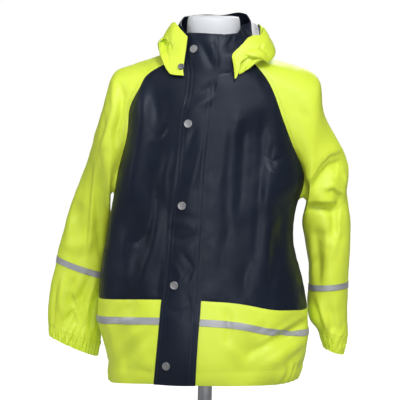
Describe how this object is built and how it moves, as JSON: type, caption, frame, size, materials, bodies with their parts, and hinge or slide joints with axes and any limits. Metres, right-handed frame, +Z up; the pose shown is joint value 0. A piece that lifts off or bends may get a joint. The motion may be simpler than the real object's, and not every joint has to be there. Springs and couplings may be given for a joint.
{
  "type": "child's raincoat on a limbless dress form with its pole and base",
  "caption": "Child's navy and fluorescent yellow rubberised raincoat with hood, storm flap and reflective tape, worn by a white dress form on a pole and a round base.",
  "frame": {"origin": "centre of the base's flat underside, on the floor under the pole", "axes": "+Z up the pole, +X towards the wearer's left, +Y towards the wearer's back, so the storm flap faces -Y"},
  "size_m": [0.4854, 0.2927, 0.809],
  "materials": {
    "navy_coated_fabric": "satin",
    "yellow_coated_fabric": "satin",
    "reflective_tape": "satin",
    "snap_metal": "polished",
    "snap_grey": "satin",
    "form_white": "matte",
    "pole_metal": "polished"
  },
  "bodies": {
    "root": {"back": "navy_coated_fabric", "band_back": "yellow_coated_fabric", "band_front_left": "yellow_coated_fabric", "band_front_right": "yellow_coated_fabric", "base": "pole_metal", "collar": "navy_coated_fabric", "cuff_left": "yellow_coated_fabric", "cuff_right": "yellow_coated_fabric", "dress_form": "form_white", "front_left": "navy_coated_fabric", "front_right": "navy_coated_fabric", "hood_left": "yellow_coated_fabric", "hood_right": "yellow_coated_fabric", "pole": "pole_metal", "sleeve_left": "yellow_coated_fabric", "sleeve_right": "yellow_coated_fabric", "snap_flap_1": "snap_metal", "snap_flap_2": "snap_metal", "snap_flap_3": "snap_metal", "snap_flap_4": "snap_metal", "snap_flap_5": "snap_metal", "snap_hood_left": "snap_grey", "snap_hood_right": "snap_grey", "storm_flap": "navy_coated_fabric", "tape_back": "reflective_tape", "tape_front_left": "reflective_tape", "tape_front_right": "reflective_tape", "tape_sleeve_left": "reflective_tape", "tape_sleeve_right": "reflective_tape"}
  },
  "joints": []
}
